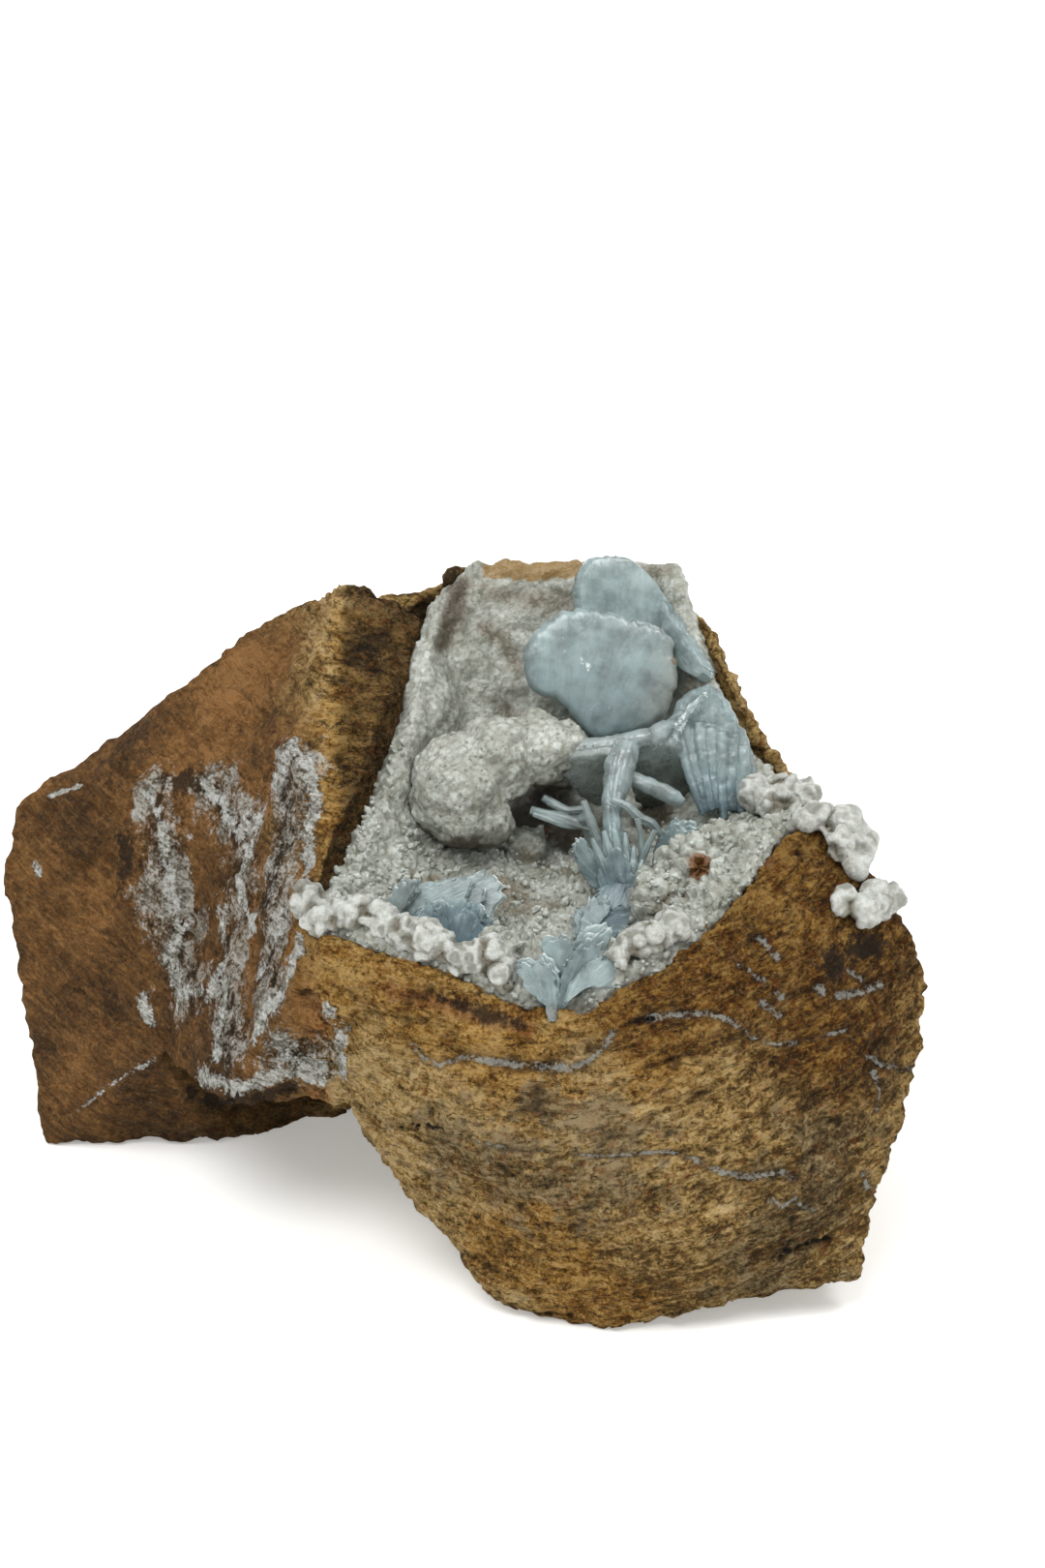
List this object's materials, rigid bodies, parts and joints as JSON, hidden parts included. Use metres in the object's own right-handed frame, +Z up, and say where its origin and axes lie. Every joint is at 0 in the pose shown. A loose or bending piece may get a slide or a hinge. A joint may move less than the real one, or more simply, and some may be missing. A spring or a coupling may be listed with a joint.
{
  "type": "barite on matrix",
  "caption": "Mineral specimen: pale blue barite blades and discs on a sugary quartz crust that lines an open hollow in a rusty brown rock.",
  "frame": {"origin": "on the ground under the middle of the specimen's bounding box", "axes": "+Z up as the specimen rests, the hollow opens towards -Y and up, +X along the specimen's longest side"},
  "size_m": [0.1114, 0.085, 0.0707],
  "materials": {
    "rock": "matte broken rock, ochre and rusty brown",
    "quartz": "sugary crust of small glassy points, light grey",
    "nodule": "sugary whitish nodules",
    "barite": "glassy, clear to milky pale blue"
  },
  "bodies": {
    "root": {"quartz_crust": "quartz", "matrix": "rock", "barite_arch": "barite", "barite_front_fan": "barite", "barite_left_cluster": "barite", "barite_middle_cluster": "barite", "barite_rosette": "barite", "barite_gap_blades": "barite", "barite_mound_blades": "barite", "quartz_knob": "quartz", "front_rim_nodules": "nodule", "right_rim_nodules": "nodule", "back_rim_nodules": "nodule", "upper_outer_nodules": "nodule", "lower_outer_nodules": "nodule"}
  },
  "joints": []
}
